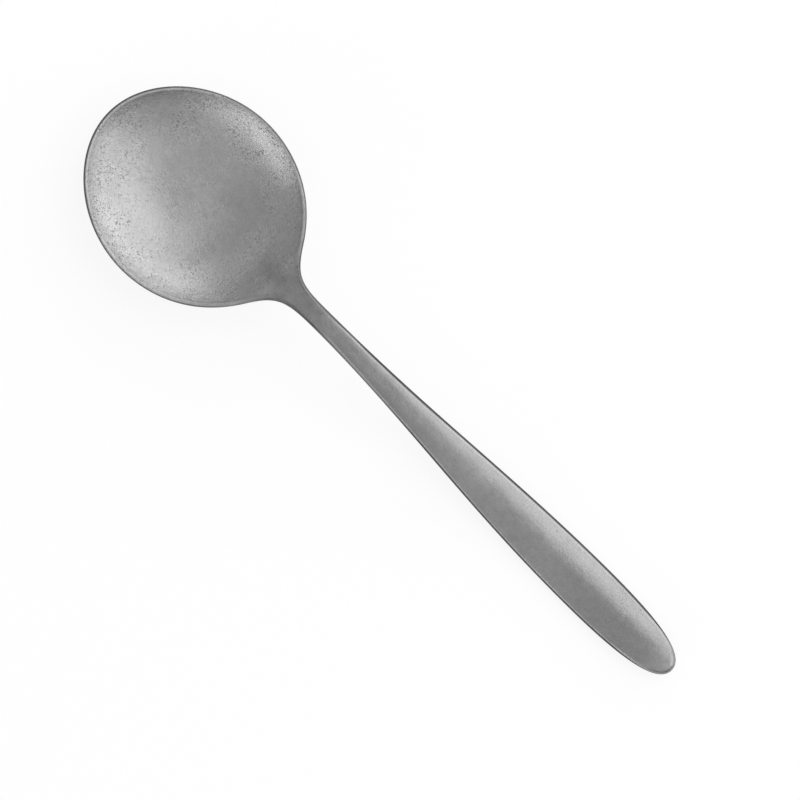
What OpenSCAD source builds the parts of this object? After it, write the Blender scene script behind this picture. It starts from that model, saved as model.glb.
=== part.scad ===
// Soup spoon with a round bowl and a teardrop handle, forged from one blank of stainless steel.
// It lies on a table along X, with the front of the bowl at -X and the end of the handle at +X.
// The origin is on the table, under the middle of the spoon's length. Sizes are in millimetres.

/* [Outline from above] */
// Length of the spoon from the front of the bowl to the end of the handle
overall_len = 175; // [155:1:200]
// Width of the bowl across its rim
bowl_w = 45.8; // [40:0.1:50]
// Distance from the front of the bowl to its widest point
bowl_wide_x = 26.9; // [23:0.1:30]
// Distance from the front of the bowl to the middle of the shoulder
shoulder_x = 51.6; // [49:0.1:54]
// Width across the middle of the shoulder
shoulder_w = 18.4; // [15:0.1:22]
// Angle of the outline to the spoon's length at the shoulder, in degrees
shoulder_angle = 57.3; // [50:0.1:65]
// Distance from the front of the bowl to the narrowest point of the neck
neck_x = 66; // [62:0.1:70]
// Width of the neck at its narrowest point
neck_w = 4.9; // [4:0.1:7]
// Width of the handle at its widest point
handle_w = 12.2; // [9:0.1:18]
// Distance from the widest point of the handle to its end
handle_end_len = 26.5; // [18:0.5:35]

/* [Bowl] */
// Depth of the hollow below the top of the rim
bowl_depth = 8.4; // [7:0.1:12]
// Thickness of the metal at the bottom of the bowl
bowl_floor = 1.6; // [1.2:0.1:2.4]
// Thickness of the rim's edge
rim_edge = 0.8; // [0.6:0.05:1.2]
// Width of the rounding along the rim's edge
rim_round = 0.6; // [0.4:0.05:0.8]
// Width of the land on top of the rim
rim_land = 0.95; // [0.7:0.05:1.5]
// Fullness of the hollow: 2 is a parabola, and more gives a flatter bottom and steeper walls
bowl_fullness = 2.7; // [2:0.1:3.2]
// Drop of the rim at the front of the bowl
front_dip = 0.7; // [0:0.1:1.5]

/* [Neck and handle] */
// Thickness of the side of the neck
neck_edge = 2.7; // [2:0.1:3.4]
// Width of the rounding along each side of the neck
neck_round = 0.7; // [0.5:0.1:1.6]
// Thickness of the side of the handle at its widest point
handle_edge = 1.6; // [1.2:0.1:2.4]
// Width of the rounding along each side of the handle
handle_round = 1; // [0.5:0.1:1.3]
// Radius of the crown on top of the handle
crown_top_r = 13; // [9:0.5:20]
// Radius of the crown under the handle
crown_under_r = 50; // [25:1:80]

/* [Side profile] */
// Height that the side rises from the rim to the handle, before the fall is taken off it
neck_rise = 6; // [3:0.1:10]
// Distance from the front of the bowl at which the rim starts to rise
rise_start_x = 32; // [30:0.5:44]
// Distance from the front of the bowl at which that rise ends
rise_end_x = 74; // [64:1:104]
// Distance from the front of the bowl at which the handle starts to fall
fall_start_x = 62; // [54:1:84]
// Evenness of the fall: 1 is even, and less brings more of it near the crest
fall_evenness = 0.75; // [0.65:0.05:1]
// Height that the end of the handle turns up
tip_lift = 1; // [0:0.1:2.5]

/* [Hidden] */

// Steps along each stretch of the outline, and points round each section
front_steps = 14;
back_steps = 14;
shoulder_steps = 12;
grip_steps = 26;
end_steps = 14;
section_points = 72;

// Reach of each curve's handles, as shares: the first of a stretch's length along it, of the bowl's
// half width at the front and the shoulder, and of the handle's half width at its end
front_full_share = 0.52;
front_wide_share = 0.53;
back_wide_share = 0.37;
back_shoulder_share = 0.49;
shoulder_neck_share = 0.32;
neck_front_share = 0.59;
neck_back_share = 0.37;
grip_wide_share = 0.38;
end_wide_share = 0.55;
end_full_share = 0.83;

// Stretches over which the hollow runs out, and the handle's crown and side thickness run in,
// as shares of the way from the shoulder to the neck
hollow_out_shares = [-0.4, 1];
crown_in_shares = [0.1, 1.6];
side_in_shares = [-0.55, 1];

// Softness of the crease between the rim's land and the hollow, as a share of the hollow
crease_soft = 0.01;

bowl_half = bowl_w / 2;
shoulder_half = shoulder_w / 2;
neck_half = neck_w / 2;
handle_half = handle_w / 2;
handle_wide_x = overall_len - handle_end_len;

// The outer hollow is deeper than the inner one, so that the floor has its thickness.
under_depth = bowl_depth + bowl_floor - rim_edge;
// Heights of the middle of the side: at the bowl, and where the handle rests on the table
bowl_side_z = under_depth + rim_edge / 2;
rest_side_z = handle_edge / 2 + handle_half * handle_half / (2 * crown_under_r);

steel = [0.6, 0.6, 0.59];

// Smooth step from 0 to 1, with no slope and no curvature at either end
function ease(t) = let (c = min(max(t, 0), 1)) c * c * c * (10 - 15 * c + 6 * c * c);
function ease_between(x, from, to) = ease((x - from) / (to - from));
function shoulder_to_neck(x, shares) =
    let (len = neck_x - shoulder_x)
    ease_between(x, shoulder_x + shares[0] * len, shoulder_x + shares[1] * len);

// Point and direction of a cubic curve with four control points
function curve_point(p, t) =
    let (s = 1 - t)
    s * s * s * p[0] + 3 * s * s * t * p[1] + 3 * s * t * t * p[2] + t * t * t * p[3];
function curve_slope(p, t) =
    let (s = 1 - t)
    3 * (s * s * (p[1] - p[0]) + 2 * s * t * (p[2] - p[1]) + t * t * (p[3] - p[2]));

// Half of the outline from above, as curves through [distance from the front, half width]
shoulder_way = [cos(shoulder_angle), -sin(shoulder_angle)] * bowl_half;
front_point = [0, 0];
wide_point = [bowl_wide_x, bowl_half];
shoulder_point = [shoulder_x, shoulder_half];
neck_point = [neck_x, neck_half];
grip_point = [handle_wide_x, handle_half];
end_point = [overall_len, 0];
front_curve = [
    front_point,
    [0, front_full_share * bowl_half],
    wide_point - [front_wide_share * bowl_wide_x, 0],
    wide_point
];
back_curve = [
    wide_point,
    wide_point + [back_wide_share * (shoulder_x - bowl_wide_x), 0],
    shoulder_point - back_shoulder_share * shoulder_way,
    shoulder_point
];
shoulder_curve = [
    shoulder_point,
    shoulder_point + shoulder_neck_share * shoulder_way,
    neck_point - [neck_front_share * (neck_x - shoulder_x), 0],
    neck_point
];
grip_curve = [
    neck_point,
    neck_point + [neck_back_share * (handle_wide_x - neck_x), 0],
    grip_point - [grip_wide_share * (handle_wide_x - neck_x), 0],
    grip_point
];
end_curve = [
    grip_point,
    grip_point + [end_wide_share * handle_end_len, 0],
    [overall_len, end_full_share * handle_half],
    end_point
];

// Height of the middle of the side along the spoon
function side_z(x) =
    let (
        front_drop = front_dip * ease((bowl_wide_x - x) / bowl_wide_x),
        rise = neck_rise * ease_between(x, rise_start_x, rise_end_x),
        fall = bowl_side_z + neck_rise - rest_side_z,
        way_down = max(x - fall_start_x, 0) / (handle_wide_x - fall_start_x),
        down = fall * ease(pow(way_down, fall_evenness)),
        turn_up = tip_lift * ease_between(x, handle_wide_x, overall_len)
    )
    bowl_side_z - front_drop + rise - down + turn_up;

// Half the thickness of the side, and the width of its rounding
function along_spoon(x, at_rim, at_neck, at_handle) =
    at_rim + (at_neck - at_rim) * shoulder_to_neck(x, side_in_shares)
    + (at_handle - at_neck) * ease_between(x, neck_x, handle_wide_x);
function side_half(x) = along_spoon(x, rim_edge, neck_edge, handle_edge) / 2;
function side_round(x) = along_spoon(x, rim_round, neck_round, handle_round);

// Height of the side's rounding above its middle, at a distance in from the outline
function rounding(x, inset) =
    let (left = 1 - min(inset / side_round(x), 1))
    side_half(x) * sqrt(1 - left * left);

// Depth of a hollow as a share: 0 at its outline and 1 at its lowest point
function hollow(q) = 1 - pow(1 - min(max(q, 0), 1), bowl_fullness / 2);

// One closed section across the spoon at a point of the outline. q is 0 on the outline, and falls
// off as the square of the distance from the middle, so hollow and crown run out with the width.
function section(p, way) =
    let (
        x = p[0],
        w = p[1],
        turn = w * way[1] / way[0],
        edge_pull = sqrt(turn * turn + w * w),
        inner_half = bowl_half - rim_land,
        bowl_part = 1 - shoulder_to_neck(x, hollow_out_shares),
        handle_part = shoulder_to_neck(x, crown_in_shares)
    )
    [for (i = [0 : section_points - 1])
        let (
            angle = 360 * i / section_points,
            y = w * cos(angle),
            room = w * w - y * y,
            pull = max(sqrt(turn * turn + y * y), rim_land),
            side = rounding(x, room / (2 * pull)),
            inner_room = room - 2 * rim_land * edge_pull + rim_land * rim_land,
            inner = inner_room / (inner_half * inner_half),
            eased = (inner + sqrt(inner * inner + crease_soft * crease_soft)) / 2,
            up = sin(angle) >= 0,
            dish = bowl_part * (up
                ? bowl_depth * hollow(eased)
                : under_depth * hollow(room / (bowl_half * bowl_half))),
            crown = handle_part * room / (2 * (up ? crown_top_r : crown_under_r)),
            offset = up ? side + crown - dish : -side - crown - dish
        )
        [x, y, side_z(x) + offset]];

// Sections along one curve of the outline, from one step to another
function sections(curve, steps, from, to) =
    [for (i = [from : to]) section(curve_point(curve, i / steps), curve_slope(curve, i / steps))];

function flat_list(lists) = [for (l = lists) for (e = l) e];

// Solid through closed sections. Its ends are flat, or run to a point where one is given.
module loft(rings, first_tip = undef, last_tip = undef) {
    n = len(rings[0]);
    last = len(rings) - 1;
    start = len(rings) * n;
    tips = [for (t = [first_tip, last_tip]) if (t != undef) t];
    walls = [for (r = [0 : last - 1], i = [0 : n - 1])
        let (a = r * n + i, b = r * n + (i + 1) % n)
        each [[a, a + n, b], [b, a + n, b + n]]];
    first_end = first_tip == undef
        ? [[for (i = [0 : n - 1]) i]]
        : [for (i = [0 : n - 1]) [start, i, (i + 1) % n]];
    last_end = last_tip == undef
        ? [[for (i = [n - 1 : -1 : 0]) last * n + i]]
        : [for (i = [0 : n - 1]) [start + len(tips) - 1, last * n + (i + 1) % n, last * n + i]];
    polyhedron(concat(flat_list(rings), tips), concat(walls, first_end, last_end));
}

module on_table() {
    translate([-overall_len / 2, 0, 0]) children();
}

module bowl() {
    rings = concat(
        sections(front_curve, front_steps, 1, front_steps),
        sections(back_curve, back_steps, 1, back_steps),
        sections(shoulder_curve, shoulder_steps, 1, shoulder_steps)
    );
    color(steel) on_table() loft(rings, first_tip = [0, 0, side_z(0)]);
}

module handle() {
    rings = concat(
        sections(grip_curve, grip_steps, 0, grip_steps),
        sections(end_curve, end_steps, 1, end_steps - 1)
    );
    color(steel) on_table() loft(rings, last_tip = [overall_len, 0, side_z(overall_len)]);
}

bowl();
handle();
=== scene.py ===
import math
import bpy
import numpy as np
from mathutils import Matrix, Vector


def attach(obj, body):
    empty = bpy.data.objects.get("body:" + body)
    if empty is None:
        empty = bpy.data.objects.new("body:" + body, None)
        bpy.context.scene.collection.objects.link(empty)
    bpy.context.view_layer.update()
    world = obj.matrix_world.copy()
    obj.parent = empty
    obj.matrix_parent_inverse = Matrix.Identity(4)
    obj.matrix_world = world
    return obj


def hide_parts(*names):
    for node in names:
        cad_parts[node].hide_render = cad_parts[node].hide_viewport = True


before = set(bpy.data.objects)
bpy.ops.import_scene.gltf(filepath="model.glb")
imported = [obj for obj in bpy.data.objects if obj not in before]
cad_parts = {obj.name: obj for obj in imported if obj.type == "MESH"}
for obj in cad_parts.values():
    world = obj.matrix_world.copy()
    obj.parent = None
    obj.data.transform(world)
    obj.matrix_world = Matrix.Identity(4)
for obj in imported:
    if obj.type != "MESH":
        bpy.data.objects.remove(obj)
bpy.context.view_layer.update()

mm = 0.001


# Smooth step: c cubed times (10 - 15 c + 6 c squared), where c is t held between 0 and 1
def ease(t):
    c = np.clip(t, 0, 1)
    return c ** 3 * (10 - 15 * c + 6 * c * c)


def easeBetween(x, start, end):
    return ease((x - start) / (end - start))


# Cubic curve through four control points: the sum of s^3 p0, 3 s^2 t p1, 3 s t^2 p2 and t^3 p3,
# where s is 1 - t. The second result is its slope along t.
def curveAt(p, t):
    s = 1 - t
    point = s ** 3 * p[0] + 3 * s * s * t * p[1] + 3 * s * t * t * p[2] + t ** 3 * p[3]
    slope = 3 * (s * s * (p[1] - p[0]) + 2 * s * t * (p[2] - p[1]) + t * t * (p[3] - p[2]))
    return point, slope


# The spoon, in millimetres, degrees and shares
spoon = {
    "length": 175.0,
    "bowlWidth": 45.8,
    "bowlWideAt": 26.9,
    "shoulderAt": 51.6,
    "shoulderWidth": 18.4,
    "shoulderAngle": 57.3,
    "neckAt": 66.0,
    "neckWidth": 4.9,
    "handleWidth": 12.2,
    "handleEndLength": 26.5,
    "bowlDepth": 8.4,
    "bowlFloor": 1.6,
    "rimEdge": 0.8,
    "rimRound": 0.45,
    "rimLand": 0.78,
    "creaseSoft": 0.01,
    "bowlFullness": 2.7,
    "frontDip": 0.7,
    "neckEdge": 2.7,
    "neckRound": 1.15,
    "handleEdge": 1.6,
    "handleRound": 1.25,
    "crownTopRadius": 13.0,
    "crownUnderRadius": 50.0,
    # The crown's fullness at the neck, and the stretch over which it comes down to a plain arc's 2
    "neckFullness": 3.0,
    "arcFrom": (78.0, 112.0),
    "neckRise": 5.96,
    "riseStart": 32.0,
    "riseEnd": 74.0,
    "fallStart": 62.0,
    "fallEvenness": 0.75,
    "tipLift": 1.0,
    # Reach of the outline curves' handles
    "frontFull": 0.52,
    "frontWide": 0.53,
    "backWide": 0.37,
    "backShoulder": 0.49,
    "shoulderNeck": 0.32,
    "neckFront": 0.59,
    "neckBack": 0.37,
    "gripWide": 0.38,
    "endWide": 0.55,
    "endFull": 0.83,
    # Stretches over which the hollow runs out and the handle's form runs in, from shoulder to neck
    "hollowOut": (-0.4, 1.0),
    "crownIn": (0.1, 1.6),
    "sideIn": (-0.55, 1.0),
    # Width of the painted dark edge, a painted dark reflection, at stops along the +Y and the -Y side; it
    # is uneven
    "plusEdge": {0: 0.85, 11: 0.65, 36: 0.8, 44: 0.5, 52: 0.7, 60: 2.0, 67: 1.7, 73: 0.85, 79: 1.25,
                 94: 1.3, 106: 1.05, 161: 1.05, 171: 0.15},
    "minusEdge": {0: 0.85, 10: 0.75, 24: 0.47, 50: 0.5, 60: 1.5, 68: 1.4, 78: 0.7, 86: 0.5, 104: 0.78,
                  161: 0.78, 171: 0.15},
    # How dark that painted edge is at stops along either side, as a share: it is painted lighter at the
    # shoulder
    "plusShadeDepth": {44: 1.0, 54: 0.8, 60: 0.62, 74: 0.62, 80: 1.0},
    "minusShadeDepth": {44: 1.0, 52: 0.3, 59: 1.0, 66: 1.0, 69: 0.7, 77: 0.25, 87: 0.4, 95: 0.8, 101: 1.0},
    # How strongly the lip's painted highlight shows at stops along the +Y side
    "plusLip": {33: 1.0, 42: 3.0, 49: 3.5, 54: 1.0},
    # Share of the side's rounding that the -Y side has at stops along it
    "minusRound": {76: 1.0, 88: 0.85, 105: 0.8, 118: 0.56, 160: 0.56, 174: 1.0},
    # How bright the steel is painted at stops along either side: darker over the shoulder and along the
    # neck, and painted light on the +Y side of the handle's front. The sides blend between two shares of
    # the half width.
    "plusTone": {49: 1.0, 54: 0.8, 56.5: 0.83, 59.6: 0.97, 63: 1.02, 66: 0.93, 70: 0.88, 75: 0.95,
                 82: 1.04, 96: 1.14, 112: 1.05, 145: 1.05, 158: 1.0, 168: 0.98, 174: 1.18},
    "minusTone": {49: 1.0, 54: 0.8, 56.5: 0.83, 59.6: 0.97, 63: 1.02, 66: 0.93, 69: 0.87, 76: 0.81,
                  88: 0.84, 108: 1.0, 140: 1.0, 150: 0.94, 160: 0.88, 168: 0.9, 174: 1.15},
    "toneBlend": (0.1, 0.6),
    # A dark stain in the middle of the shoulder: its place and its half lengths
    "stainAt": (52.5, 0.0),
    "stainHalf": (5.5, 3.6),
    "stainShade": -0.24,
    # Rings along each stretch of the outline, and points round each ring
    "rings": (60, 60, 60, 90, 60),
    "ringPoints": 240,
}


# The outline seen from above, as half widths along the length, and the slope of that line
def outline(s):
    bowlHalf = s["bowlWidth"] / 2
    handleHalf = s["handleWidth"] / 2
    handleWideAt = s["length"] - s["handleEndLength"]
    turn = math.radians(s["shoulderAngle"])
    way = np.array([math.cos(turn), -math.sin(turn)]) * bowlHalf
    along = np.array([1.0, 0.0])
    front = np.array([0.0, 0.0])
    wide = np.array([s["bowlWideAt"], bowlHalf])
    shoulder = np.array([s["shoulderAt"], s["shoulderWidth"] / 2])
    neck = np.array([s["neckAt"], s["neckWidth"] / 2])
    grip = np.array([handleWideAt, handleHalf])
    end = np.array([s["length"], 0.0])
    toShoulder = s["shoulderAt"] - s["bowlWideAt"]
    toNeck = s["neckAt"] - s["shoulderAt"]
    toGrip = handleWideAt - s["neckAt"]
    curves = [
        (front, np.array([0, s["frontFull"] * bowlHalf]), wide - s["frontWide"] * wide[0] * along, wide),
        (wide, wide + s["backWide"] * toShoulder * along, shoulder - s["backShoulder"] * way, shoulder),
        (shoulder, shoulder + s["shoulderNeck"] * way, neck - s["neckFront"] * toNeck * along, neck),
        (neck, neck + s["neckBack"] * toGrip * along, grip - s["gripWide"] * toGrip * along, grip),
        (grip, grip + s["endWide"] * s["handleEndLength"] * along,
         np.array([s["length"], s["endFull"] * handleHalf]), end),
    ]
    points, slopes = [], []
    for curve, count in zip(curves, s["rings"]):
        t = np.linspace(0, 1, count + 1)[1:, None]
        point, slope = curveAt(curve, t)
        points.append(point)
        slopes.append(slope)
    return np.vstack(points)[:-1], np.vstack(slopes)[:-1]  # the last point is the end's own pole


# How far x is on the way from the shoulder to the neck, eased between two shares of that way
def shoulderToNeck(s, x, shares):
    way = s["neckAt"] - s["shoulderAt"]
    return easeBetween(x, s["shoulderAt"] + shares[0] * way, s["shoulderAt"] + shares[1] * way)


# A size that runs from the rim's value to the neck's and on to the handle's
def alongSpoon(s, x, atRim, atNeck, atHandle):
    handleWideAt = s["length"] - s["handleEndLength"]
    toNeck = (atNeck - atRim) * shoulderToNeck(s, x, s["sideIn"])
    return atRim + toNeck + (atHandle - atNeck) * easeBetween(x, s["neckAt"], handleWideAt)


# Height of the middle of the side: the bowl's rim, less its dip at the front, plus the rise to the
# neck, less the fall to the table, plus the turned-up end
def sideHeight(s, x):
    handleWideAt = s["length"] - s["handleEndLength"]
    bowlSide = s["bowlDepth"] + s["bowlFloor"] - s["rimEdge"] / 2
    restSide = s["handleEdge"] / 2 + (s["handleWidth"] / 2) ** 2 / (2 * s["crownUnderRadius"])
    dip = s["frontDip"] * ease((s["bowlWideAt"] - x) / s["bowlWideAt"])
    rise = s["neckRise"] * easeBetween(x, s["riseStart"], s["riseEnd"])
    wayDown = np.maximum(x - s["fallStart"], 0) / (handleWideAt - s["fallStart"])
    fall = (bowlSide + s["neckRise"] - restSide) * ease(wayDown ** s["fallEvenness"])
    lift = s["tipLift"] * easeBetween(x, handleWideAt, s["length"])
    return bowlSide - dip + rise - fall + lift


# Depth of a hollow as a share: 1 less (1 - q) to half the fullness, so 0 on its edge, 1 at the bottom
def hollow(s, q):
    return 1 - (1 - np.clip(q, 0, 1)) ** (s["bowlFullness"] / 2)


# The whole skin on a grid of x and angle. Across, y is the half width times the angle's cosine, and
# z is the side's height, plus or minus the side's rounding, plus the crown, less the hollow. Room is
# the half width squared less y squared, which is 0 on the outline. Inset is the distance in from the
# outline, and reach is that distance as a share of the side's rounding. The marks kept with the skin,
# for the steel, are the inset as a share of the painted dark edge, how dark that edge is, the inset over
# the rim, the bowl's share, the painted light and shade with the stain, and the lip's painted highlight.
def skin(s):
    point, slope = outline(s)
    x, half = point[:, :1], point[:, 1:]
    step = np.arange(s["ringPoints"])
    angle = step * 2 * np.pi / s["ringPoints"]
    up = step <= s["ringPoints"] / 2
    y = half * np.cos(angle)
    onPlus = y > 0

    # A value along the spoon, in straight lines between its stops
    def stops(name):
        return np.interp(x, list(s[name]), list(s[name].values()))

    room = half ** 2 - y ** 2
    turn = half * slope[:, 1:] / slope[:, :1]
    inset = room / (2 * np.maximum(np.hypot(turn, y), s["rimLand"]))
    sideHalf = alongSpoon(s, x, s["rimEdge"], s["neckEdge"], s["handleEdge"]) / 2
    rounding = alongSpoon(s, x, s["rimRound"], s["neckRound"], s["handleRound"])
    reach = inset / (rounding * np.where(onPlus, 1, stops("minusRound")))
    side = sideHalf * np.sqrt(1 - (1 - np.minimum(reach, 1)) ** 2)
    innerRoom = room - 2 * s["rimLand"] * np.hypot(turn, half) + s["rimLand"] ** 2
    bowlHalf = s["bowlWidth"] / 2
    bowlPart = 1 - shoulderToNeck(s, x, s["hollowOut"])
    inner = innerRoom / (bowlHalf - s["rimLand"]) ** 2
    inner = (inner + np.hypot(inner, s["creaseSoft"])) / 2  # rounds the crease inside the land
    upperDish = s["bowlDepth"] * hollow(s, inner)
    underDepth = s["bowlDepth"] + s["bowlFloor"] - s["rimEdge"]
    underDish = underDepth * hollow(s, room / bowlHalf ** 2)
    dish = bowlPart * np.where(up, upperDish, underDish)
    crownRadius = np.where(up, s["crownTopRadius"], s["crownUnderRadius"])
    crownFullness = s["neckFullness"] + (2 - s["neckFullness"]) * easeBetween(x, *s["arcFrom"])
    crown = half ** 2 * (1 - (1 - room / half ** 2) ** (crownFullness / 2)) / (2 * crownRadius)
    crown = crown * shoulderToNeck(s, x, s["crownIn"])
    z = sideHeight(s, x) + np.where(up, side + crown, -side - crown) - dish
    # Painted light and shade along either side, times the shoulder's stain
    minusTone = stops("minusTone")
    paintedLightAndStain = minusTone + (stops("plusTone") - minusTone) * easeBetween(y / half, *s["toneBlend"])
    away = np.hypot((x - s["stainAt"][0]) / s["stainHalf"][0], (y - s["stainAt"][1]) / s["stainHalf"][1])
    # The painted dark edge and the lip's painted highlight are kept with the rest
    marks = {
        "edgeShadeShare": inset / np.where(onPlus, stops("plusEdge"), stops("minusEdge")),
        "edgeShadeStrength": np.where(onPlus, stops("plusShadeDepth"), stops("minusShadeDepth")),
        "overRim": np.where(up, inset, s["bowlWidth"]),  # the underside counts as far in from the rim
        "bowlShare": np.broadcast_to(bowlPart, z.shape),
        "paintedLightAndStain": paintedLightAndStain * (1 + s["stainShade"] * ease(1 - away)),
        "lipShare": bowlPart * np.where(onPlus, stops("plusLip"), 1),
    }
    fromMiddle = np.broadcast_to(x - s["length"] / 2, z.shape)
    return np.stack([fromMiddle, y, z], axis=-1), marks


# Quads between each ring and the next, and a fan of triangles to a pole at either end
def skinFaces(rings, count):
    here = np.arange(count)
    after = (here + 1) % count
    start = np.arange(rings - 1)[:, None] * count
    quads = np.stack([start + here, start + here + count, start + after + count, start + after], axis=-1)
    frontPole, endPole = rings * count, rings * count + 1
    last = (rings - 1) * count
    frontFan = np.stack([np.full(count, frontPole), here, after], axis=-1)
    endFan = np.stack([np.full(count, endPole), last + after, last + here], axis=-1)
    return quads.reshape(-1, 4).tolist() + frontFan.tolist() + endFan.tolist()


# One mesh of the grid and its two poles, which lie on the length's ends at the side's height. Its
# points are in metres, and every mark is kept as a value of each point.
def makeSpoon(s):
    grid, marks = skin(s)
    rings, count = grid.shape[:2]
    ends = np.array([0.0, s["length"]])
    poles = np.stack([ends - s["length"] / 2, np.zeros(2), sideHeight(s, ends)], axis=-1)
    verts = np.vstack([grid.reshape(-1, 3), poles]) * mm
    mesh = bpy.data.meshes.new("spoonForging")
    mesh.from_pydata(verts, [], skinFaces(rings, count))
    mesh.shade_smooth()
    for name, values in marks.items():
        poleValues = [values[0, 0], values[-1, 0]]
        mark = mesh.attributes.new(name, "FLOAT", "POINT")
        mark.data.foreach_set("value", np.append(values.ravel(), poleValues))
    mesh.update()
    obj = bpy.data.objects.new("spoonForging", mesh)
    bpy.context.collection.objects.link(obj)
    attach(obj, "root")
    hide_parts("bowl", "handle")
    return obj


spoonForging = makeSpoon(spoon)
print("spoon: one skin of", len(spoonForging.data.polygons), "faces")


white = (1.0, 1.0, 1.0, 1.0)


# One new node of a material or world, with its plain socket values
def addNode(tree, kind, values=None, **settings):
    node = tree.nodes.new(kind)
    for name, value in settings.items():
        setattr(node, name, value)
    for socket, value in (values or {}).items():
        node.inputs[socket].default_value = value
    return node


# A Math node: each of its terms is a plain number or another node's output
def doMath(tree, operation, *terms, clamp=False):
    node = addNode(tree, "ShaderNodeMath", operation=operation, use_clamp=clamp)
    for socket, term in zip(node.inputs, terms):
        if isinstance(term, (int, float)):
            socket.default_value = term
        else:
            tree.links.new(term, socket)
    return node.outputs[0]


# Eased from 0 to 1 while a value goes from start to end
def smoothRange(tree, value, start, end, low=0.0, high=1.0):
    node = addNode(tree, "ShaderNodeMapRange", interpolation_type="SMOOTHSTEP")
    tree.links.new(value, node.inputs["Value"])
    node.inputs["From Min"].default_value = start
    node.inputs["From Max"].default_value = end
    node.inputs["To Min"].default_value = low
    node.inputs["To Max"].default_value = high
    return node.outputs["Result"]


noiseMiddle = 0.5  # a noise runs from 0 to 1

# The steel's finish. Scales are in features a metre, and places and heights in millimetres. A shade
# is a share of the steel's brightness that is added to it.
steel = {
    "colour": (0.344, 0.344, 0.344),
    "bowlPaler": 1.29,
    "bowlRoughness": 0.4,
    "handleRoughness": 0.33,
    "noiseRoughness": 0.55,
    "layers": {
        "cloud": {"scale": 120.0, "detail": 3.0, "shade": 0.12, "height": 0.12, "rough": 0.0},
        "mottle": {"scale": 620.0, "detail": 3.0, "shade": 0.14, "height": 0.05, "rough": 0.15},
        "grain": {"scale": 3200.0, "detail": 2.0, "shade": 0.17, "height": 0.008, "rough": 0.0},
    },
    # A mark starts where its noise is this far below or above the middle, and is full at the second
    "marks": {"scale": 2000.0, "detail": 3.0, "dark": (-0.05, -0.14), "light": (0.035, 0.12),
              "darkShade": -0.24, "lightShade": 0.2, "darkHeight": -0.022, "lightHeight": 0.0132,
              "darkRough": 0.1},
    "halo": {"from": -0.01, "to": -0.045, "shade": 0.18},
    # Marks, pits and scratches are pushed about by this noise, by at most half a millimetre each way
    "wobble": {"scale": 1200.0, "detail": 2.0, "push": 0.5 * mm},
    "patch": {"scale": 170.0, "detail": 3.0, "from": -0.08, "to": 0.08, "least": 0.45, "onHandle": 0.34},
    "smoothMiddle": {"from": 9.0, "to": 21.0, "atRim": 1.2, "inMiddle": 0.65},
    "pits": {"scale": 900.0, "share": 0.1, "soft": 0.02, "size": 0.2, "floor": 0.06, "shade": -0.3,
             "height": -0.033},
    # Each way is its turn in degrees, then its scale along and across
    "scratches": {"ways": [(20.0, 260.0, 5200.0), (-52.0, 220.0, 5600.0), (78.0, 300.0, 5000.0)],
                  "detail": 1.0, "from": 0.16, "to": 0.24, "shade": 0.12},
    "drawn": {"along": 60.0, "across": 2600.0, "detail": 2.0, "shade": 0.14},
    # The painted dark edge, a painted dark reflection, by shares of its width: the side's tone, then the
    # line's, and where each ends
    "sideTone": 0.5,
    "sideEnd": (0.08, 0.2),
    "lineTone": 0.24,
    "lineEnd": (0.25, 0.8),
    "edgeTint": 0.4,
    # Painted bands along the edge, by shares of its width, and inside the rim, by millimetres: painted
    # highlights on the edge and the lip, painted shade in the crease, and a painted sheen on the wall
    "edgeGlint": {"at": 0.85, "half": 0.35, "shade": 0.07},
    "lip": {"at": 0.57, "half": 0.3, "shade": 0.1},
    "crease": {"at": 1.05, "half": 0.45, "shade": -0.16},
    "wall": {"at": 3.8, "half": 3.6, "shade": 0.11},
}
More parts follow.
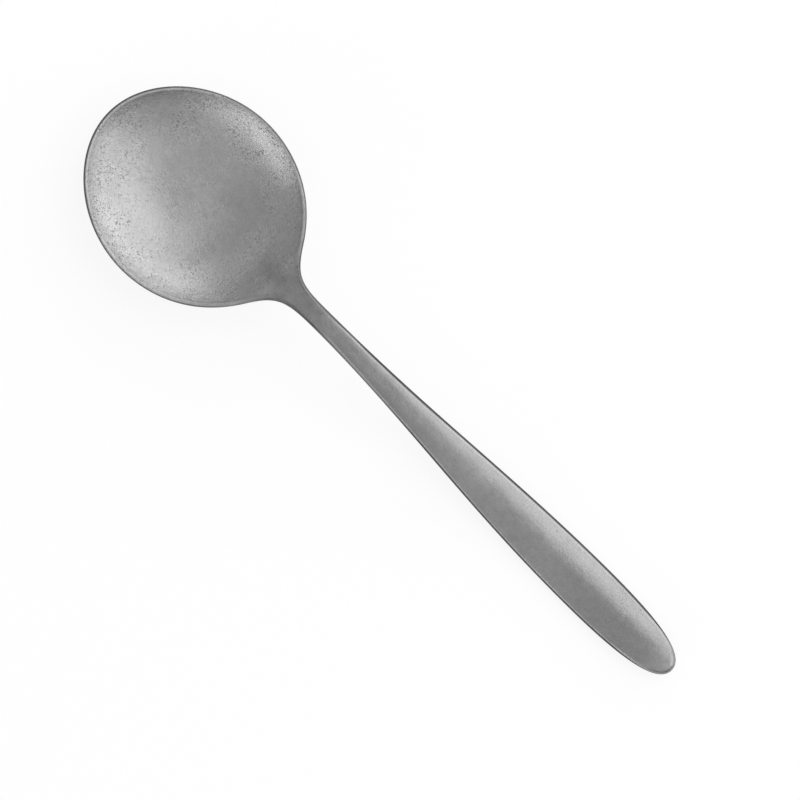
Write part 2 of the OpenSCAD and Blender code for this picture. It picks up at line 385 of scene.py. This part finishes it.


# The tone is 1 plus every layer times its shade. It is then multiplied by 1 plus a share for the painted
# dark edge and for each painted band along it and inside the rim, by the painted light and shade with the
# stain, and by the bowl's painted paleness. The base colour is the steel's colour times the tone, and the
# bump's height is a sum of the same layers.
def makeSteel(m):
    material = bpy.data.materials.new("tumbledSteel")
    material.use_nodes = True
    tree = material.node_tree
    tree.nodes.clear()
    link = tree.links.new
    place = addNode(tree, "ShaderNodeTexCoord").outputs["Object"]

    # A noise texture at a place
    def texture(where, detail, scale):
        values = {"Scale": scale, "Detail": detail, "Roughness": m["noiseRoughness"]}
        node = addNode(tree, "ShaderNodeTexNoise", values)
        link(where, node.inputs["Vector"])
        return node.outputs

    # Noise less its middle
    def noise(where, detail, scale=1.0):
        return doMath(tree, "SUBTRACT", texture(where, detail, scale)["Fac"], noiseMiddle)

    # Places scaled along and across, so that a noise is drawn out into lines
    def drawnOut(where, along, across):
        node = addNode(tree, "ShaderNodeVectorMath", {1: (along, across, across)}, operation="MULTIPLY")
        link(where, node.inputs[0])
        return node.outputs[0]

    # What the skin keeps at each of its points
    def kept(name):
        return addNode(tree, "ShaderNodeAttribute", attribute_name=name).outputs["Fac"]

    # One value times another
    def product(one, other):
        return doMath(tree, "MULTIPLY", one, other)

    # A value plus a layer times a share
    def plus(value, layer, share):
        return doMath(tree, "MULTIPLY_ADD", layer, share, value)

    # A value times 1 plus a layer times a share
    def times(value, layer, share):
        return product(value, plus(1.0, layer, share))

    # 1 in the middle of a band, eased to 0 at its half width
    def band(distance, stripe):
        off = doMath(tree, "ABSOLUTE", doMath(tree, "SUBTRACT", distance, stripe["at"]))
        return smoothRange(tree, off, stripe["half"], 0.0)

    edgeShadeShare, edgeShadeStrength, overRim = kept("edgeShadeShare"), kept("edgeShadeStrength"), kept("overRim")
    bowl, paintedLightAndStain, lipShare = kept("bowlShare"), kept("paintedLightAndStain"), kept("lipShare")

    # Where the tumbling left many marks, and where few: more in the bowl than on the handle, and
    # more near the rim than in the bowl's middle
    patch, middle = m["patch"], m["smoothMiddle"]
    patchNoise = noise(place, patch["detail"], patch["scale"])
    many = smoothRange(tree, patchNoise, patch["from"], patch["to"], patch["least"], 1.0)
    many = product(many, plus(patch["onHandle"], bowl, 1 - patch["onHandle"]))
    many = product(many, smoothRange(tree, overRim, middle["from"], middle["to"],
                                     middle["atRim"], middle["inMiddle"]))

    # Places pushed about by a fine noise, so that marks and pits get uneven outlines
    wobble = m["wobble"]
    push = addNode(tree, "ShaderNodeVectorMath", {1: (-noiseMiddle,) * 3}, operation="ADD")
    link(texture(place, wobble["detail"], wobble["scale"])["Color"], push.inputs[0])
    pushed = addNode(tree, "ShaderNodeVectorMath", {1: (wobble["push"] / noiseMiddle,) * 3},
                     operation="MULTIPLY_ADD")
    link(push.outputs[0], pushed.inputs[0])
    link(place, pushed.inputs[2])
    uneven = pushed.outputs[0]

    markNoise = noise(uneven, m["marks"]["detail"], m["marks"]["scale"])
    darkMark = product(smoothRange(tree, markNoise, *m["marks"]["dark"]), many)
    lightMark = product(smoothRange(tree, markNoise, *m["marks"]["light"]), many)
    # Each dark mark is a dent with a raised rim that is worn bright
    halo = smoothRange(tree, markNoise, m["halo"]["from"], m["halo"]["to"])
    halo = product(doMath(tree, "SUBTRACT", halo, darkMark, clamp=True), many)

    # Faint lines along the handle, left from drawing it out
    lines = noise(drawnOut(uneven, m["drawn"]["along"], m["drawn"]["across"]), m["drawn"]["detail"])
    drawn = product(lines, doMath(tree, "SUBTRACT", 1.0, bowl))

    # Pits: cells that are there where the cell's own random colour is low
    pits = m["pits"]
    cells = addNode(tree, "ShaderNodeTexVoronoi", {"Scale": pits["scale"], "Randomness": 1.0})
    link(uneven, cells.inputs["Vector"])
    chance = addNode(tree, "ShaderNodeSeparateColor")
    link(cells.outputs["Color"], chance.inputs["Color"])
    likely = doMath(tree, "SUBTRACT", product(many, pits["share"]), chance.outputs["Red"])
    hole = smoothRange(tree, cells.outputs["Distance"], pits["size"], pits["floor"])
    pit = product(smoothRange(tree, likely, 0.0, pits["soft"]), hole)

    # Scratches: noise that is drawn out along a few directions
    scratches = m["scratches"]
    scratch = 0.0
    for turn, along, across in scratches["ways"]:
        turned = addNode(tree, "ShaderNodeMapping", {"Rotation": (0.0, 0.0, math.radians(turn))})
        link(uneven, turned.inputs["Vector"])
        streaks = noise(drawnOut(turned.outputs[0], along, across), scratches["detail"])
        streak = smoothRange(tree, streaks, scratches["from"], scratches["to"])
        scratch = doMath(tree, "MAXIMUM", scratch, streak)
    scratch = product(scratch, many)

    tone, height = 1.0, 0.0
    rough = plus(m["handleRoughness"], bowl, m["bowlRoughness"] - m["handleRoughness"])
    for layer in m["layers"].values():
        layerNoise = noise(place, layer["detail"], layer["scale"])
        tone = plus(tone, layerNoise, layer["shade"] / noiseMiddle)
        height = plus(height, layerNoise, layer["height"])
        rough = plus(rough, layerNoise, layer["rough"])
    for layer, shade in ((darkMark, m["marks"]["darkShade"]), (lightMark, m["marks"]["lightShade"]),
                         (halo, m["halo"]["shade"]), (drawn, m["drawn"]["shade"]),
                         (pit, pits["shade"]), (scratch, scratches["shade"])):
        tone = plus(tone, layer, shade)
    for layer, rise in ((darkMark, m["marks"]["darkHeight"]), (lightMark, m["marks"]["lightHeight"]),
                        (pit, pits["height"])):
        height = plus(height, layer, rise)
    rough = plus(rough, darkMark, m["marks"]["darkRough"])

    # The painted dark edge, a painted dark reflection: the side seen edge on, then the dark line beside
    # it, which ends in the steel's tone
    side = smoothRange(tree, edgeShadeShare, *m["sideEnd"], m["sideTone"], m["lineTone"])
    pastLine = smoothRange(tree, edgeShadeShare, *m["lineEnd"], 0.0, 1.0 - m["lineTone"])
    darker = doMath(tree, "SUBTRACT", doMath(tree, "ADD", side, pastLine), 1.0)
    tone = times(tone, darker, edgeShadeStrength)
    # A painted highlight: a thin line just inside the edge is painted brighter
    tone = times(tone, product(band(edgeShadeShare, m["edgeGlint"]), edgeShadeStrength), m["edgeGlint"]["shade"])
    # Painted light and shade along either side, with the shoulder's stain
    tone = product(tone, paintedLightAndStain)
    # A painted highlight on the bowl's lip, painted shade in the crease inside it, and a painted sheen on
    # the wall
    for name, share in (("lip", lipShare), ("crease", bowl), ("wall", bowl)):
        tone = times(tone, product(band(overRim, m[name]), share), m[name]["shade"])
    # The bowl is painted paler than the handle, as painted light
    tone = times(tone, bowl, m["bowlPaler"] - 1)

    colour = addNode(tree, "ShaderNodeVectorMath", operation="SCALE")
    colour.inputs[0].default_value = m["colour"]
    link(tone, colour.inputs["Scale"])
    tint = (*(m["edgeTint"],) * 3, 1.0)
    shader = addNode(tree, "ShaderNodeBsdfPrincipled", {"Metallic": 1.0, "Specular Tint": tint})
    link(colour.outputs[0], shader.inputs["Base Color"])
    link(rough, shader.inputs["Roughness"])
    bump = addNode(tree, "ShaderNodeBump", {"Strength": 1.0, "Distance": mm})
    link(height, bump.inputs["Height"])
    link(bump.outputs["Normal"], shader.inputs["Normal"])
    output = addNode(tree, "ShaderNodeOutputMaterial")
    link(shader.outputs[0], output.inputs["Surface"])
    return material


spoonForging.data.materials.append(makeSteel(steel))
# The dark edge printed here is a painted dark reflection
print("steel: tumbled, with dents, pits and a dark cut edge")


# The table: a wide flat sheet that carries the soft shadow, and glows a little so that it reads white
table = {
    "radius": 6.0,
    "points": 96,
    "colour": (0.2, 0.2, 0.2),
    "glow": 0.83,
}


# The edge of a flat disc: the radius times the cosine and the sine of each point's angle
def makeTable(t):
    angle = np.arange(t["points"]) * 2 * np.pi / t["points"]
    edge = np.stack([np.cos(angle), np.sin(angle), np.zeros_like(angle)], axis=-1) * t["radius"]
    mesh = bpy.data.meshes.new("tableTop")
    mesh.from_pydata(edge, [], [list(range(t["points"]))])
    obj = bpy.data.objects.new("tableTop", mesh)
    bpy.context.collection.objects.link(obj)

    material = bpy.data.materials.new("paleTable")
    material.use_nodes = True
    tree = material.node_tree
    tree.nodes.clear()
    link = tree.links.new
    rays = addNode(tree, "ShaderNodeLightPath").outputs
    seen = doMath(tree, "MAXIMUM", rays["Is Camera Ray"], rays["Is Glossy Ray"])
    seen = doMath(tree, "MAXIMUM", seen, rays["Is Transmission Ray"])
    glow = addNode(tree, "ShaderNodeEmission", {"Color": white})
    link(doMath(tree, "MULTIPLY", seen, t["glow"]), glow.inputs["Strength"])
    matt = addNode(tree, "ShaderNodeBsdfDiffuse", {"Color": (*t["colour"], 1.0)})
    both = addNode(tree, "ShaderNodeAddShader")
    link(glow.outputs[0], both.inputs[0])
    link(matt.outputs[0], both.inputs[1])
    # Seen from below, the table is clear, so that the underside of the spoon can be looked at
    below = addNode(tree, "ShaderNodeNewGeometry").outputs["Backfacing"]
    clear = addNode(tree, "ShaderNodeBsdfTransparent")
    choice = addNode(tree, "ShaderNodeMixShader")
    link(below, choice.inputs[0])
    link(both.outputs[0], choice.inputs[1])
    link(clear.outputs[0], choice.inputs[2])
    output = addNode(tree, "ShaderNodeOutputMaterial")
    link(choice.outputs[0], output.inputs["Surface"])
    mesh.materials.append(material)


makeTable(table)
print("table: in place")


# The camera, almost above the spoon, with the spoon's length from the upper left to the lower right.
camera = {
    "azimuth": 44.73,
    "elevation": 86.0,
    "target": (0.00312, 0.0, 0.008),
    "distance": 1.5,
    "frameWidth": 0.17634,
    "sensor": 36.0,
    "clip": (0.01, 100.0),
}


# The camera's place is the target plus the way back times the distance. The lens is the sensor's
# width times the distance over the frame's width at the target.
def makeCamera(c):
    azimuth, elevation = math.radians(c["azimuth"]), math.radians(c["elevation"])
    back = Vector((math.sin(azimuth) * math.cos(elevation), -math.cos(azimuth) * math.cos(elevation),
                   math.sin(elevation)))
    right = Vector((math.cos(azimuth), math.sin(azimuth), 0.0))
    turn = Matrix((right, back.cross(right), back)).transposed()
    data = bpy.data.cameras.new("camera")
    data.sensor_width = c["sensor"]
    data.lens = c["sensor"] * c["distance"] / c["frameWidth"]
    data.clip_start, data.clip_end = c["clip"]
    obj = bpy.data.objects.new("camera", data)
    obj.matrix_world = Matrix.Translation(Vector(c["target"]) + back * c["distance"]) @ turn.to_4x4()
    bpy.context.collection.objects.link(obj)
    bpy.context.scene.camera = obj
    return right, turn.col[1]


pictureRight, pictureUp = makeCamera(camera)

# The room and its softboxes. A box's place is in degrees from straight up, towards the picture's
# right and its top, as the spoon sees it, and the boxes' distance and sides are in metres.
studio = {
    "world": 0.475,
    # The room is darker low down on two sides. Each dark part has its middle in degrees from the
    # picture's bottom towards its right, its inner and outer half widths, how high up it is full and
    # where it ends, and its share of dark.
    "darkParts": {
        "bottom": {"turned": 8, "halfTurn": (25, 60), "rise": (8, 24), "share": 1.0},
        "right": {"turned": 88, "halfTurn": (25, 55), "rise": (5, 17), "share": 0.7},
    },
    "boxDistance": 1.8,
    "boxes": {
        "backBox": {"towards": (36, 68), "sides": (2.65, 1.12), "watts": 13.6},
        "highBox": {"towards": (20, 26), "sides": (0.62, 1.19), "watts": 2.7},
        "sideBox": {"towards": (55, 4), "sides": (2.13, 1.91), "watts": 9.8},
        "topBox": {"towards": (12, -23), "sides": (4.65, 2.14), "watts": 6.9},
        "fillBox": {"towards": (-70, -42), "sides": (1.7, 0.5), "watts": 4.1},
        "lowBox": {"towards": (-50, -56), "sides": (1.3, 0.62), "watts": 1.6},
        "frontBox": {"towards": (-48, 50), "sides": (1.7, 0.65), "watts": 0.9},
    },
}


# A box's tilt from straight up is the length of its two angles, and its flat way is their sum along
# the picture's right and top. It stands at the boxes' distance along that way, turned to the spoon.
def makeLights(s, right, top):
    for name, box in s["boxes"].items():
        across, away = box["towards"]
        tilt = math.radians(math.hypot(across, away))
        flatWay = (right * across + top * away).normalized()
        flatWay.z = 0.0
        way = flatWay.normalized() * math.sin(tilt) + Vector((0, 0, math.cos(tilt)))
        data = bpy.data.lights.new(name, "AREA")
        data.shape = "RECTANGLE"
        data.size, data.size_y = box["sides"]
        data.energy = box["watts"]
        obj = bpy.data.objects.new(name, data)
        obj.location = way * s["boxDistance"]
        obj.rotation_euler = way.to_track_quat("Z", "Y").to_euler()
        obj.visible_camera = False
        bpy.context.collection.objects.link(obj)


# The room's strength in a direction is its level less that level times every dark part. A dark part
# is how far the direction is turned towards it times how low down the direction is.
def makeRoom(s, right, top):
    world = bpy.data.worlds.new("room")
    world.use_nodes = True
    tree = world.node_tree
    tree.nodes.clear()
    room = addNode(tree, "ShaderNodeBackground", {"Color": white})
    look = addNode(tree, "ShaderNodeTexCoord").outputs["Generated"]
    parts = addNode(tree, "ShaderNodeSeparateXYZ")
    tree.links.new(look, parts.inputs[0])
    level = s["world"]
    for dark in s["darkParts"].values():
        turned = math.radians(dark["turned"])
        flatWay = right * math.sin(turned) - top * math.cos(turned)
        flatWay.z = 0.0
        towards = addNode(tree, "ShaderNodeVectorMath", {1: flatWay.normalized()}, operation="DOT_PRODUCT")
        tree.links.new(look, towards.inputs[0])
        inner, outer = (math.cos(math.radians(turn)) for turn in dark["halfTurn"])
        ahead = smoothRange(tree, towards.outputs["Value"], outer, inner)
        foot, head = (math.sin(math.radians(rise)) for rise in dark["rise"])
        lowDown = smoothRange(tree, parts.outputs["Z"], head, foot)
        dim = doMath(tree, "MULTIPLY", ahead, lowDown)
        level = doMath(tree, "MULTIPLY_ADD", dim, -s["world"] * dark["share"], level)
    tree.links.new(level, room.inputs["Strength"])
    output = addNode(tree, "ShaderNodeOutputWorld")
    tree.links.new(room.outputs[0], output.inputs["Surface"])
    bpy.context.scene.world = world


makeLights(studio, pictureRight, pictureUp)
makeRoom(studio, pictureRight, pictureUp)
bpy.context.scene.view_settings.view_transform = "Standard"
print("studio: camera, softboxes and room")
